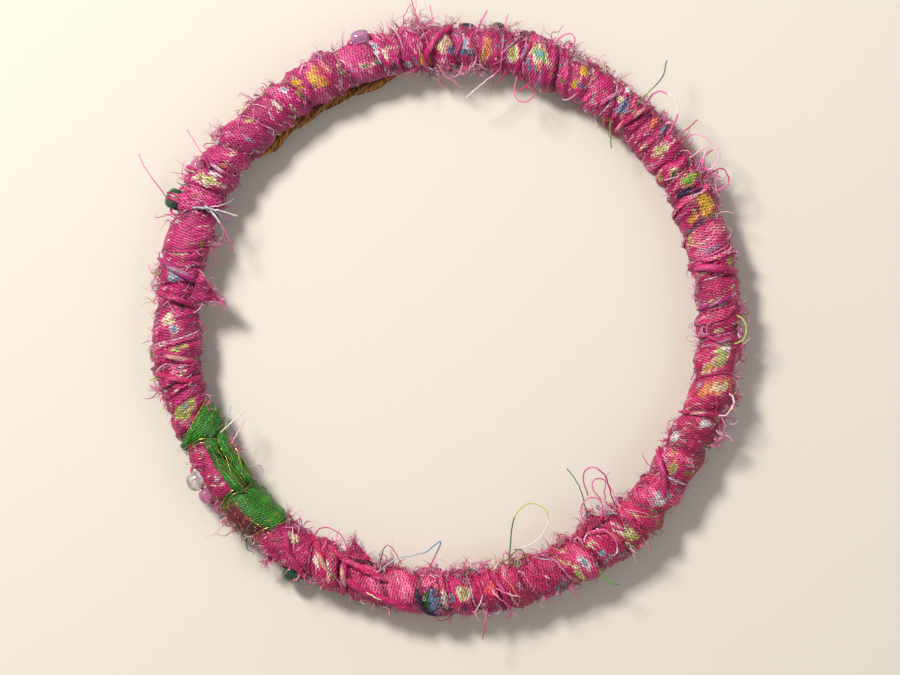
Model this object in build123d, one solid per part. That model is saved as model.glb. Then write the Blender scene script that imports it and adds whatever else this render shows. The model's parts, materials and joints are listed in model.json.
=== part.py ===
from build123d import *
import os
from math import cos, radians, sin

# Bangle bracelet: a wire hoop, padded with an ochre cotton wrap, then wound round and round with
# torn strips of printed sari silk. Seed beads still sewn to the cloth sit along the outer rim, and
# each one turns on its own stitch.
#
# Frame: millimetres. The origin is the centre of the wrist opening, +Z is the axis of the hoop, and
# the bangle lies flat with its lowest windings about 3 mm below the origin. Angles round the hoop
# are in degrees, from +X towards +Y.

# ---- driving dimensions -------------------------------------------------------------------------
OPENING_DIAMETER = 65.0        # wrist opening, between the crowns of the windings
SILK_CROWN_RADIUS = 3.0        # fullest radius of an ordinary turn of silk
WIRE_RADIUS = 1.25             # wire of the hoop inside
WRAP_THICKNESS = 0.5           # ochre cotton under-wrap
CREASE_DEPTH = 0.45            # how far the crease between two turns sinks below the crowns
STITCH_RADIUS = 0.25           # thread that holds a bead
STITCH_CLEARANCE = 0.07        # radial play of a bead on its stitch
POCKET_CLEARANCE = 0.18        # room left in the silk round a bead

# ---- worked out from them -----------------------------------------------------------------------
RING_RADIUS = OPENING_DIAMETER / 2 + SILK_CROWN_RADIUS
WRAP_RADIUS = WIRE_RADIUS + WRAP_THICKNESS
BORE_RADIUS = STITCH_RADIUS + STITCH_CLEARANCE

# ---- silk strips, in order round the hoop -------------------------------------------------------
# Each strip lists the angles of its creases. A turn of the winding lies between two creases.
STRIPS = {
    "magenta_strip_1": (231, 240, 247, 257, 264),
    "magenta_strip_2": (264, 270, 275.5, 281, 287, 295, 301, 307),
    "magenta_strip_3": (307, 312, 316.5, 324, 331.5, 340),
    "magenta_strip_4": (340, 348, 356, 362.5, 369, 374, 380.5),
    "magenta_strip_5": (20.5, 27.5, 31.5, 35, 40, 47.5, 53.5),
    "magenta_strip_6": (53.5, 60, 67, 73.5, 78.5, 84, 88.5),
    "magenta_strip_7": (88.5, 94.5, 100.5, 104.5, 113, 116.5, 124),
    "magenta_strip_8": (124, 127.5, 134.5, 142, 147, 151.5, 156),
    "magenta_strip_9": (156, 165, 168.5, 172.5, 176.5, 184.5, 189.5, 193.5, 197.5, 204.5),
    "green_strip_upper": (204.5, 209),
    "beaded_strip": (209, 219.5),
    "green_strip_lower": (219.5, 231),
}
TURN_PROFILE = ((0, 0), (0.2, 0.75), (0.5, 1), (0.8, 0.75))     # share of the width, fullness
BEADED_STRIP_CROWN = 2.2       # thin, because the green twist lies over it
GREEN_LOWER_CROWN = 3.3        # the fullest puff of the whole winding

# ---- beads --------------------------------------------------------------------------------------
# Each stitch lists its angle round the hoop, its height angle round the tube (0 is the outer rim, 90
# is the top), and the outer radius and half length of each bead on it.
STITCHES = (
    (74.7, -30, ((1.05, 0.95),)),
    (80.1, -30, ((1.20, 1.00),)),
    (86.2, -36, ((1.00, 1.15),)),
    (107.3, 15, ((1.00, 1.20),)),
    (148.7, 25, ((0.95, 0.85),)),
    (156.3, 4, ((1.30, 1.35),)),
    (173.4, -24, ((0.95, 0.90),)),
    (188.4, -30, ((1.10, 1.30), (1.10, 1.00))),
    (214.4, 5, ((1.40, 1.20), (1.10, 0.95))),
    (238.6, -8, ((1.40, 1.25),)),
)
BEAD_STANDOFF = 2.1            # from the middle of the tube to the near side of a bead
BEAD_GAP = 0.2                 # between two beads on one stitch
BEAD_DOME = 0.8                # share of a bead's wall that its domed outside takes up

# ---- ochre twist, green twist and gold thread ---------------------------------------------------
OCHRE_TWIST_SPAN = (100, 145)
OCHRE_TWIST_RADIUS = 0.65
OCHRE_TWIST_OFFSET = 3.4       # from the middle of the tube
OCHRE_TWIST_HEIGHT_ANGLE = 198

GREEN_TWIST_SPAN = (209.4, 219.1)
GREEN_TWIST_WIDTH = 3.6
GREEN_TWIST_THICKNESS = 1.7
GREEN_TWIST_HEIGHT_ANGLE = 118
GREEN_TWIST_SINK = 0.2         # how far the twist beds into the strip under it

GOLD_THREAD_RADIUS = 0.16
GOLD_THREAD_ANGLES = (209, 219.5, 231)


def tube_plane(angle, height_angle, offset):
    """A plane at a point beside the middle of the tube: X along the hoop, Y away from the tube."""
    a = radians(angle)
    h = radians(height_angle)
    outward = Vector(cos(h) * cos(a), cos(h) * sin(a), sin(h))
    along = Vector(-sin(a), cos(a), 0)
    middle = Vector(RING_RADIUS * cos(a), RING_RADIUS * sin(a), 0)
    return Plane(origin=middle + outward * offset, x_dir=along, z_dir=along.cross(outward))


def arc_tube(section, span):
    """Sweep a section, drawn in the radial plane at 0 degrees, along part of the hoop."""
    return Rot(0, 0, span[0]) * revolve(section, Axis.Z, span[1] - span[0])


def section_at(height_angle, offset):
    """Where a section lies in the radial plane at 0 degrees, with its own Y away from the tube."""
    h = radians(height_angle)
    return Plane.XZ * Pos(RING_RADIUS + offset * cos(h), offset * sin(h)) * Rot(0, 0, height_angle - 90)


def sleeve_section(angle, radius):
    """A disc square to the hoop."""
    place = tube_plane(angle, 0, 0)
    return Plane(origin=place.origin, x_dir=place.y_dir, z_dir=place.x_dir) * Circle(radius)


def strip_crown(name):
    """The fullest radius of a strip's turns."""
    return {"beaded_strip": BEADED_STRIP_CROWN, "green_strip_lower": GREEN_LOWER_CROWN}.get(
        name, SILK_CROWN_RADIUS)


def silk_strip(name, creases):
    """A strip's crowned turns as one sleeve, hollow where the padded hoop runs through it."""
    crown = strip_crown(name)
    crease = crown - CREASE_DEPTH * crown / SILK_CROWN_RADIUS
    sections = []
    for start, end in zip(creases, creases[1:]):
        for share, fullness in TURN_PROFILE:
            radius = crease + (crown - crease) * fullness
            sections.append(sleeve_section(start + (end - start) * share, radius))
    sections.append(sleeve_section(creases[-1], crease))
    hollow = section_at(0, 0) * Circle(WRAP_RADIUS)
    return loft(sections, ruled=True) - arc_tube(hollow, (creases[0] - 1, creases[-1] + 1))


def stitch_plane(angle, height_angle, beads):
    """The plane at the middle of a stitch, with X along the bores of its beads."""
    widest = max(radius for radius, half_length in beads)
    return tube_plane(angle, height_angle, BEAD_STANDOFF + widest)


def half_run(beads):
    """Half the length of the beads on one stitch, with the gaps between them."""
    return sum(half_length for radius, half_length in beads) + BEAD_GAP * (len(beads) - 1) / 2


def bead(radius, half_length):
    """A glass seed bead: domed outside, with a straight bore for the stitch."""
    wall = radius - BORE_RADIUS
    dome = Pos(0, radius - BEAD_DOME * wall) * Ellipse(half_length, BEAD_DOME * wall)
    above_bore = Pos(0, BORE_RADIUS + wall) * Rectangle(3 * half_length, 2 * wall)
    return revolve(dome & above_bore, Axis.X)


def stitch_beads(angle, height_angle, beads):
    """The beads of one stitch, side by side on one line."""
    place = stitch_plane(angle, height_angle, beads).location
    start = -half_run(beads)
    row = []
    for radius, half_length in beads:
        row.append(place * Pos(start + half_length, 0, 0) * bead(radius, half_length))
        start += 2 * half_length + BEAD_GAP
    return row


def bead_pocket(angle, height_angle, beads):
    """The room that the silk leaves round the beads of one stitch."""
    widest = max(radius for radius, half_length in beads)
    pocket = Cylinder(widest + POCKET_CLEARANCE, 2 * (half_run(beads) + POCKET_CLEARANCE))
    return stitch_plane(angle, height_angle, beads).location * Rot(0, 90, 0) * pocket


def stitch(angle, height_angle, beads):
    """The thread through the beads: straight in the bores, then down into the silk at both ends."""
    bend = 2 * STITCH_RADIUS
    reach = half_run(beads) + bend
    depth = max(radius for radius, half_length in beads) + STITCH_RADIUS
    path = FilletPolyline((-reach, -depth), (-reach, 0), (reach, 0), (reach, -depth), radius=bend)
    start = Plane(origin=path @ 0, z_dir=path % 0)
    thread = sweep(start * Circle(STITCH_RADIUS), path=path)
    return stitch_plane(angle, height_angle, beads).location * thread


def gold_thread():
    """Loops of metal-wrapped thread that sit in the creases beside the green silk."""
    seat = SILK_CROWN_RADIUS - CREASE_DEPTH
    loop = Rot(0, 90, 0) * Torus(seat, GOLD_THREAD_RADIUS)
    return [tube_plane(angle, 0, 0).location * loop for angle in GOLD_THREAD_ANGLES]


def ochre_twist():
    """The exposed end of the cotton wrap, twisted into a cord along the inner edge."""
    place = section_at(OCHRE_TWIST_HEIGHT_ANGLE, OCHRE_TWIST_OFFSET)
    return arc_tube(place * Circle(OCHRE_TWIST_RADIUS), OCHRE_TWIST_SPAN)


def green_twist():
    """A green strip twisted lengthwise that bridges the two green puffs."""
    offset = BEADED_STRIP_CROWN + GREEN_TWIST_THICKNESS / 2 - GREEN_TWIST_SINK
    place = section_at(GREEN_TWIST_HEIGHT_ANGLE, offset)
    flat_roll = Ellipse(GREEN_TWIST_WIDTH / 2, GREEN_TWIST_THICKNESS / 2)
    return arc_tube(place * flat_roll, GREEN_TWIST_SPAN)


def build():
    """Every node of the bangle, by name."""
    nodes = {
        "hoop_wire": Torus(RING_RADIUS, WIRE_RADIUS),
        "ochre_underwrap": Torus(RING_RADIUS, WRAP_RADIUS) - Torus(RING_RADIUS, WIRE_RADIUS),
        "ochre_twist": ochre_twist(),
        "green_twist": green_twist(),
        "gold_thread": gold_thread(),
    }
    cuts = [nodes["ochre_twist"], nodes["green_twist"]] + nodes["gold_thread"]
    cuts += [bead_pocket(*spec) for spec in STITCHES]
    for name, creases in STRIPS.items():
        strip = silk_strip(name, creases)
        box = strip.bounding_box()
        for cut in cuts:
            if box.overlaps(cut.bounding_box()):
                strip = strip - cut
        nodes[name] = strip
    for number, spec in enumerate(STITCHES, start=1):
        nodes[f"bead_stitch_{number:02d}"] = stitch(*spec)
    beads = [one for spec in STITCHES for one in stitch_beads(*spec)]
    for number, one in enumerate(beads, start=1):
        nodes[f"seed_bead_{number:02d}"] = one
    return nodes


def save(nodes):
    """Write each node to its own file."""
    os.makedirs("parts", exist_ok=True)
    for name, shape in nodes.items():
        solids = shape if isinstance(shape, list) else shape.solids()
        body = solids[0] if len(solids) == 1 else Compound(children=list(solids))
        body.label = name
        export_step(body, f"parts/{name}.step")
        print(f"{name}: {len(solids)} solid(s), {sum(s.volume for s in solids):.2f} mm3")


save(build())
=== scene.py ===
import json
import math
import random

import bpy
import numpy as np
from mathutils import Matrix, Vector


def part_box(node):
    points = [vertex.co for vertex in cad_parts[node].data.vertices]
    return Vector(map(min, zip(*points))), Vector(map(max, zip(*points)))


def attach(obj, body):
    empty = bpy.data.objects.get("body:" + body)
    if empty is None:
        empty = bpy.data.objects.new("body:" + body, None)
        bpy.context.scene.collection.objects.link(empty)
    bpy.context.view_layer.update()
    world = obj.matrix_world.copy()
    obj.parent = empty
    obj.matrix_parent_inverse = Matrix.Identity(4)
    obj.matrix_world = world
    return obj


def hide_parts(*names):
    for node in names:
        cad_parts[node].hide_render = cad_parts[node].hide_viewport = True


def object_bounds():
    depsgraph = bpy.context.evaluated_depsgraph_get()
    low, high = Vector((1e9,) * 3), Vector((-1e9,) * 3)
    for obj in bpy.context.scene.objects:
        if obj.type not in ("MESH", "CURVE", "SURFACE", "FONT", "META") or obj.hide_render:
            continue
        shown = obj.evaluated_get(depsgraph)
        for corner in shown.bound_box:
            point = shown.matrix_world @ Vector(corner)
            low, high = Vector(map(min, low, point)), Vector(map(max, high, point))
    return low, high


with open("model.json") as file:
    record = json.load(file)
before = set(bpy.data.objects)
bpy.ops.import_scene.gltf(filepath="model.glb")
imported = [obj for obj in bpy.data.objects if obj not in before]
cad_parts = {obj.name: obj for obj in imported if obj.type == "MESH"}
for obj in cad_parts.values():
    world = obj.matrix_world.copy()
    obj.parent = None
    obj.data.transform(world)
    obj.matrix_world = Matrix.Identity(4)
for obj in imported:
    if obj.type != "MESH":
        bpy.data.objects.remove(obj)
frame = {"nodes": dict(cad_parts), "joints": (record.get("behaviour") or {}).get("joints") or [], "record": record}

# A bangle wound with torn strips of printed sari silk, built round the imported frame. Lengths in this
# script are millimetres, and MM turns them into the frame's metres. Angles round the hoop are degrees
# from +X towards +Y. Round the tube, 0 is the outer rim and 90 the top.

MM = 0.001
cad_low, cad_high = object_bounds()
ROOT = "wrapped_hoop"

# ---- sizes from the frame -----------------------------------------------------------------------
wire_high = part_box("hoop_wire")[1]
RING = (wire_high.x - wire_high.z) / MM          # radius of the hoop's centre line
WIRE = wire_high.z / MM                          # radius of the wire
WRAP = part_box("ochre_underwrap")[1].z / MM       # radius of the padded hoop
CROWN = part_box("magenta_strip_2")[1].z / MM      # fullest radius of an ordinary turn
FLOOR = cad_low.z / MM                           # height of the table

# ---- winding ------------------------------------------------------------------------------------
# The creases of each strip, as in the CAD source. A turn lies between two creases.
STRIPS = {
    "magenta_strip_1": (231, 240, 247, 257, 264),
    "magenta_strip_2": (264, 270, 275.5, 281, 287, 295, 301, 307),
    "magenta_strip_3": (307, 312, 316.5, 324, 331.5, 340),
    "magenta_strip_4": (340, 348, 356, 362.5, 369, 374, 380.5),
    "magenta_strip_5": (20.5, 27.5, 31.5, 35, 40, 47.5, 53.5),
    "magenta_strip_6": (53.5, 60, 67, 73.5, 78.5, 84, 88.5),
    "magenta_strip_7": (88.5, 94.5, 100.5, 104.5, 113, 116.5, 124),
    "magenta_strip_8": (124, 127.5, 134.5, 142, 147, 151.5, 156),
    "magenta_strip_9": (156, 165, 168.5, 172.5, 176.5, 184.5, 189.5, 193.5, 197.5, 204.5),
    "green_strip_upper": (204.5, 209),
    "beaded_strip": (209, 219.5),
    "green_strip_lower": (219.5, 231),
}
# The creases beside the green silk slant: each one's shift at the top, and its extra shift at the outer
# rim, in degrees. The inner edge moves the other way, and the slant fades out underneath.
SLANTS = {204.5: (-2.5, 2.2), 209: (-2.25, -2.75), 219.5: (-0.3, -2.1), 231: (-1.0, -4.4)}
CREASE = 2.15               # least radius of the tube at a crease
CLOTH = 0.09                # thickness of the silk
CUT_WIDTH = 10.4            # width of a torn strip, most of it under the next turns
STEP = 0.2                  # spacing of the rows along a strip
# How many turns before the top a strip starts and ends. Both ends lie under the tube and just overlap.
STRIP_START, STRIP_END = 0.53, 0.47
ROWS_ACROSS = 40            # points across the part of a strip that shows
GIRTH = 2 * math.pi * 2.85  # length of strip in one turn
WEAVE = 0.18                # spacing of the silk's threads
# The creases at the start of the turns with shallow folds, and of those with deep ones.
SMOOTH_TURNS = (231, 257, 356, 2.5, 14, 340, 104.5, 156, 219.5, 134.5, 127.5, 324, 331.5)
STREAKY_TURNS = (40, 53.5, 184.5, 189.5, 193.5, 47.5, 172.5, 270, 281, 9, 247, 240, 301, 307, 94.5)

# ---- colours, as sRGB ---------------------------------------------------------------------------
PALETTE = {
    "magenta": (198, 26, 104),
    # deep is the colour of the painted shade in the gaps between the threads of the magenta silk
    "deep": (108, 6, 18),
    "maroon": (74, 8, 28),
    "pink": (228, 96, 158),
    "pale pink": (238, 184, 206),
    "violet": (184, 36, 122),
    "warm": (204, 27, 95),
    "green": (24, 102, 10),
    "dark green": (10, 58, 14),
    "bright green": (64, 152, 24),
    "olive": (124, 128, 56),
    "lime": (186, 200, 96),
    "yellow": (232, 182, 36),
    "gold": (192, 134, 44),
    "orange": (222, 132, 62),
    "cream": (232, 216, 176),
    "white": (236, 228, 226),
    "grey": (168, 180, 184),
    "teal": (96, 152, 176),
    "blue": (62, 104, 158),
    "navy": (34, 30, 66),
    "coral": (244, 84, 96),
    "ochre": (178, 120, 52),
    # brown is the colour of the painted shade in the gaps between the cotton's threads
    "brown": (112, 62, 26),
}

# ---- printed motifs -----------------------------------------------------------------------------
# Angle round the hoop, place across the top (-1 inner edge, 1 outer edge), length along the strip,
# width across it, then the colours from the rim of the motif to its middle.
MOTIFS = (
    (2.9, 0.75, 1.0, 0.9, "teal"), (2.9, 0.1, 1.6, 0.6, "grey"), (3.3, -0.45, 0.8, 0.8, "lime"),
    (10.4, 0.75, 1.0, 2.1, "lime cream"), (17.6, -0.75, 0.8, 1.4, "lime green"),
    (21.0, 0.6, 1.2, 0.5, "teal"), (20.9, -0.2, 2.5, 0.4, "navy"), (23.7, 0.4, 2.4, 2.8, "yellow"),
    (22.2, -0.4, 1.6, 1.0, "gold"), (26.5, 0.2, 1.6, 0.6, "cream"), (28.2, -0.25, 3.0, 0.8, "navy"),
    (29.8, 0.15, 2.3, 1.4, "lime bright_green"), (30.0, 0.8, 0.8, 0.7, "lime"),
    (32.9, -0.15, 1.8, 1.1, "cream dark_green"), (34.0, -0.75, 0.9, 1.5, "lime olive"),
    (38.3, -0.1, 2.4, 1.2, "cream lime"), (41.2, 0.6, 1.6, 0.5, "teal"),
    (43.5, 0.5, 1.8, 0.5, "orange"), (47.7, 0.0, 1.7, 1.0, "cream"), (50.3, 0.0, 1.9, 1.3, "teal blue"),
    (51.5, 0.8, 1.2, 0.8, "white"), (51.3, -0.75, 0.9, 1.1, "orange"), (52.2, 0.3, 0.8, 0.9, "cream"),
    (54.8, 0.8, 0.5, 0.5, "cream"), (61.0, 0.5, 1.7, 1.2, "yellow"), (61.4, -0.3, 1.5, 0.7, "yellow"),
    (62.5, 0.85, 0.9, 2.2, "white"), (64.2, 0.5, 0.8, 0.9, "cream grey"),
    (60.3, -0.2, 0.7, 0.6, "blue"), (64.5, -0.4, 0.6, 0.8, "olive"),
    (70.7, 0.25, 2.1, 2.3, "cream bright_green teal"), (72.3, -0.3, 1.3, 0.5, "teal"),
    (70.0, -0.2, 0.9, 0.5, "orange"), (76.3, 0.1, 2.6, 1.5, "cream lime"),
    (78.3, 0.4, 2.4, 0.5, "navy"), (78.9, 0.6, 2.2, 0.4, "teal"), (81.5, 0.1, 2.6, 0.9, "orange"),
    (82.3, -0.3, 1.2, 0.4, "yellow"), (86.5, 0.2, 2.9, 1.1, "white teal"),
    (85.5, -0.3, 0.9, 1.8, "navy"), (87.2, -0.25, 1.0, 0.8, "blue"), (91.1, 0.2, 2.7, 2.0, "cream"),
    (89.5, -0.2, 1.1, 1.0, "teal blue"), (95.0, -0.65, 1.7, 1.7, "orange yellow"),
    (98.5, -0.75, 1.0, 0.8, "grey"), (102.0, -0.6, 0.8, 0.9, "dark_green"),
    (103.2, -0.1, 1.8, 0.5, "cream"), (104.9, 0.4, 2.2, 0.9, "white teal"),
    (105.2, -0.25, 1.0, 0.6, "teal"), (103.5, -0.85, 0.6, 1.6, "grey"),
    (107.8, -0.3, 0.9, 1.7, "cream green"), (113.3, -0.05, 2.1, 0.5, "cream green"),
    (117.1, 0.75, 0.7, 0.8, "cream"), (117.6, 0.15, 3.0, 2.3, "yellow orange magenta"),
    (119.4, 0.0, 1.6, 0.8, "yellow"), (122.9, 0.25, 2.2, 1.3, "yellow"),
    (122.9, -0.35, 1.5, 0.9, "lime green"), (125.7, 0.45, 1.1, 0.7, "white teal"),
    (128.5, 0.1, 2.1, 0.7, "cream white"), (134.8, 0.4, 1.5, 0.6, "lime"),
    (146.0, 0.0, 1.3, 0.5, "orange"), (147.6, 0.3, 1.3, 0.6, "navy"), (148.0, -0.1, 1.7, 0.6, "white"),
    (149.8, 0.1, 3.6, 1.1, "cream lime olive"), (151.1, 0.3, 1.8, 0.3, "white"),
    (166.0, 0.15, 2.3, 0.8, "cream"), (163.5, -0.65, 0.8, 1.6, "olive"),
    (171.0, 0.2, 2.0, 1.2, "teal grey"), (174.5, -0.2, 1.3, 0.5, "white"),
    (168.9, 0.8, 0.8, 0.8, "grey"), (177.7, -0.35, 0.8, 1.0, "dark_green"),
    (180.3, 0.3, 1.9, 1.4, "cream"), (182.3, 0.05, 1.0, 1.0, "white teal blue"),
    (186.3, -0.1, 2.3, 0.8, "lime olive"), (192.0, -0.1, 2.3, 0.9, "cream"),
    (194.0, 0.9, 0.9, 1.3, "cream blue"), (198.9, 0.2, 3.1, 2.2, "lime olive teal"),
    (203.6, 0.2, 2.5, 0.5, "cream"), (234.8, -0.35, 1.1, 1.9, "cream"),
    (242.5, 0.0, 1.4, 1.9, "white cream"), (246.2, 0.3, 0.7, 0.5, "olive"),
    (258.5, 0.95, 0.8, 1.0, "cream"), (262.3, 1.0, 0.8, 1.6, "cream"),
    (267.4, 0.5, 3.8, 3.2, "navy teal"), (265.6, 0.35, 2.2, 0.8, "green"),
    (269.3, 0.3, 2.4, 0.8, "cream white"), (270.9, 0.2, 0.9, 0.6, "teal"),
    (273.3, 0.0, 1.7, 1.6, "cream lime bright_green"), (273.4, 0.65, 1.0, 0.8, "navy"),
    (279.0, -0.05, 1.7, 1.4, "coral"), (294.2, 0.8, 0.9, 0.4, "olive"),
    (297.2, 0.4, 2.3, 0.9, "cream lime"), (299.4, 0.2, 1.9, 0.9, "white teal"),
    (303.4, 0.2, 0.8, 0.8, "grey teal"), (308.3, 0.75, 1.3, 1.6, "cream"),
    (310.6, 0.3, 1.9, 1.5, "lime cream"), (314.5, 0.0, 1.7, 0.6, "orange"),
    (320.0, 0.2, 1.6, 2.8, "grey white"), (316.9, 0.4, 1.6, 0.4, "lime"),
    (324.3, 0.4, 1.1, 0.5, "cream"), (326.6, -0.15, 0.9, 1.5, "lime olive"),
    (327.5, 0.7, 1.6, 0.7, "olive"), (329.6, 0.9, 0.8, 0.6, "white navy"),
    (331.0, 0.5, 2.3, 0.8, "gold orange"), (329.8, -0.45, 1.0, 1.0, "yellow olive"),
    (333.6, 0.8, 1.0, 1.2, "olive"), (332.6, -0.8, 1.3, 1.9, "grey white"),
    (338.0, 0.35, 2.2, 0.8, "white"), (345.1, -0.65, 0.8, 0.9, "teal grey"),
    (346.0, 0.2, 3.3, 1.7, "orange cream"), (344.0, -0.35, 1.2, 1.2, "orange"),
    (349.0, -0.5, 1.4, 2.2, "cream yellow lime"), (352.3, 0.15, 1.9, 3.0, "cream lime"),
    (354.1, 0.4, 1.3, 0.8, "white"), (358.6, 0.8, 0.8, 0.5, "navy"), (357.3, -0.1, 1.2, 0.4, "cream"),
)
HIDDEN_MOTIFS = 90          # more of the same print where the picture doesn't reach
MOTIF_REACH = 0.36          # turns either way that a motif may cover
PRINT_COLOURS = ("cream", "cream lime", "teal white", "yellow", "navy teal", "olive", "coral",
                 "cream green")

# ---- twisted tails of cloth that lie over the turns ----------------------------------------------
# Stops as angle, place across and height over the crown, then radius and colours.
TAILS = (
    (((9.2, 0.98, 0.0), (10.2, 0.3, 0.25), (11.2, -0.4, 0.2), (12.2, -0.98, -0.2)), 0.62, "magenta pink"),
    (((2.0, -0.95, 0.0), (3.6, 0.0, 0.1), (5.2, 0.95, 0.0)), 0.36, "violet grey"),
    (((26.3, 0.9, 0.0), (27.6, 0.1, 0.1), (28.0, -0.9, 0.0)), 0.34, "navy violet"),
    (((45.6, 0.98, 0.1), (47.2, 0.2, 0.2), (48.4, -0.9, 0.0)), 0.42, "magenta cream"),
    (((52.0, 0.95, 0.0), (53.8, 0.0, 0.15), (55.6, -0.95, 0.0)), 0.36, "pink grey"),
    (((72.0, 0.9, 0.0), (74.0, 0.0, 0.1), (74.8, -0.9, 0.1)), 0.42, "magenta teal"),
    (((89.0, 0.95, 0.2), (92.4, 0.3, 0.3), (94.4, -0.3, 0.2), (94.8, -1.0, 0.0)), 0.52, "magenta pink"),
    (((115.0, 0.9, 0.0), (115.8, -0.1, 0.1), (114.9, -0.95, 0.0)), 0.34, "magenta cream"),
    (((146.0, 0.9, 0.0), (147.0, -0.1, 0.15), (147.4, -0.95, 0.0)), 0.40, "violet white"),
    (((168.2, 0.95, 0.1), (169.6, 0.2, 0.25), (171.2, -0.5, 0.2), (171.6, -1.0, 0.1)), 0.52, "violet grey"),
    (((174.8, 0.9, 0.0), (175.8, 0.0, 0.2), (177.2, -0.95, 0.0)), 0.44, "magenta pink"),
    (((185.4, 0.98, 0.0), (188.0, 0.1, 0.25), (190.6, -0.95, 0.1)), 0.56, "magenta cream"),
    (((190.6, 0.98, 0.1), (192.6, 0.1, 0.25), (194.8, -0.95, 0.0)), 0.50, "warm pink"),
    (((232.6, -0.3, 0.1), (236.0, 0.3, 0.2), (241.0, 0.95, 0.0)), 0.50, "magenta pink"),
    (((238.0, -0.95, 0.0), (242.6, -0.1, 0.25), (246.4, 0.9, 0.1)), 0.58, "warm cream"),
    (((246.6, -0.95, 0.1), (247.8, 0.0, 0.35), (249.4, 0.9, 0.0)), 0.55, "magenta cream"),
    (((263.2, -0.2, 0.0), (264.4, 0.4, 0.2), (266.4, 0.8, 0.1), (269.2, 0.9, 0.0)), 0.34, "navy maroon"),
    (((242.0, -0.8, 0.0), (246.0, -0.62, 0.15), (252.0, -0.45, 0.15), (257.0, -0.3, 0.0)), 0.5, "warm pink"),
    (((248.0, 0.15, 0.0), (253.0, 0.4, 0.15), (259.0, 0.55, 0.1), (263.0, 0.75, 0.0)), 0.55, "magenta warm"),
    (((279.8, -0.9, 0.1), (281.6, 0.1, 0.2), (282.2, 0.95, 0.0)), 0.44, "magenta pink"),
    (((294.0, -0.95, 0.1), (295.6, 0.0, 0.2), (296.4, 0.95, 0.0)), 0.38, "magenta lime"),
    (((305.6, -0.98, 0.2), (307.4, 0.0, 0.3), (307.2, 0.95, 0.0)), 0.50, "warm orange"),
    (((320.2, 0.3, 0.2), (323.4, -0.2, 0.35), (326.4, -0.7, 0.25), (328.8, -1.0, 0.1)), 0.52,
     "magenta pink"),
    (((338.2, -0.95, 0.1), (339.6, 0.0, 0.15), (340.4, 0.95, 0.0)), 0.38, "magenta cream"),
    (((356.2, 0.95, 0.0), (355.4, 0.0, 0.15), (357.0, -0.95, 0.0)), 0.36, "magenta grey"),
)
# Frayed tufts: angle, place across, spread either way, thickness, longest hair, how curly.
TUFTS = (
    (30, 1.0, 3.5, 170, 5.5, 1.5), (24, 0.9, 3, 60, 3.5, 1.0), (44, 1.0, 5, 70, 4.0, 0.9),
    (38, 1.0, 3, 40, 3.0, 0.9), (56, 0.95, 4, 70, 3.5, 0.9), (64, 0.95, 5, 110, 4.0, 0.9),
    (70, 0.6, 4, 70, 3.0, 0.8), (79, 0.95, 5, 120, 3.2, 0.8), (86, 0.95, 3, 60, 2.8, 0.8),
    (95, 1.0, 4, 170, 5.0, 0.5), (100, 0.95, 3, 80, 4.5, 0.5), (92, -0.95, 4, 110, 3.8, 0.8),
    (84, -0.95, 4, 60, 3.6, 0.9), (108, 1.0, 4, 70, 3.4, 0.8), (117, 0.9, 3, 40, 2.6, 0.8),
    (131, 1.0, 4, 60, 3.0, 0.8), (141, 1.0, 3, 70, 3.2, 0.8), (150, 1.0, 4, 100, 4.0, 0.6),
    (157, 1.0, 4, 80, 4.0, 0.6), (162, -0.95, 3, 90, 4.2, 0.5), (172, 1.0, 4, 80, 3.2, 0.8),
    (174, -0.95, 3.5, 150, 4.2, 0.8), (183, 1.0, 4, 60, 2.6, 0.8), (193, 1.0, 4, 100, 3.2, 0.8),
    (200, -0.9, 3, 40, 2.4, 0.8), (214, 1.0, 4, 110, 4.2, 0.7), (219, 1.0, 3, 70, 4.5, 0.6),
    (225, 1.0, 4, 90, 4.0, 0.7), (212, -0.95, 3, 40, 4.0, 0.5), (231, 0.9, 3, 60, 2.6, 0.9),
    (233, -0.95, 3, 50, 3.2, 0.8), (241, 0.95, 3, 50, 2.8, 0.9), (246, -0.95, 4, 90, 3.4, 0.9),
    (256, -0.95, 5, 90, 3.8, 0.9), (255, 0.9, 4, 40, 2.2, 0.9), (265, -0.9, 4, 90, 3.6, 0.9),
    (275, -0.95, 5, 150, 4.0, 0.9), (285, -0.95, 5, 170, 4.6, 0.9), (278, 0.95, 6, 80, 3.6, 0.9),
    (292, 0.95, 5, 50, 3.0, 0.9), (296, -0.95, 4, 130, 4.0, 0.9), (305, -0.95, 4, 170, 5.5, 1.4),
    (312, -1.0, 3, 110, 4.5, 1.2), (311, 0.95, 4, 50, 2.8, 0.9), (322, -0.9, 4, 70, 3.0, 0.9),
    (333, -0.95, 4, 70, 3.0, 0.9), (345, 1.0, 5, 130, 3.8, 0.8), (336, 1.0, 4, 80, 3.4, 0.8),
    (353, 1.0, 4, 60, 3.0, 0.8), (1, 1.0, 4, 70, 2.8, 0.9), (8, -0.95, 4, 50, 2.8, 0.9),
    (355, -0.9, 4, 50, 2.4, 0.8), (14, 1.0, 3, 30, 2.4, 0.8),
)
# Torn corners of cloth: the two ends of the fold line and the tip, in millimetres.
FLAPS = (
    ((-33.6, 2.2, 2.7), (-32.2, 6.2, 2.6), (-29.6, 2.3, 1.6)),
    ((-13.6, -30.9, 2.4), (-9.6, -31.6, 2.4), (-12.2, -28.9, 1.6)),
    ((17.0, -28.6, 2.6), (20.9, -25.9, 2.6), (18.4, -25.4, 2.0)),
    ((-23.4, -29.6, 1.4), (-20.4, -31.4, 1.4), (-23.6, -31.8, 0.4)),
)
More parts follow.
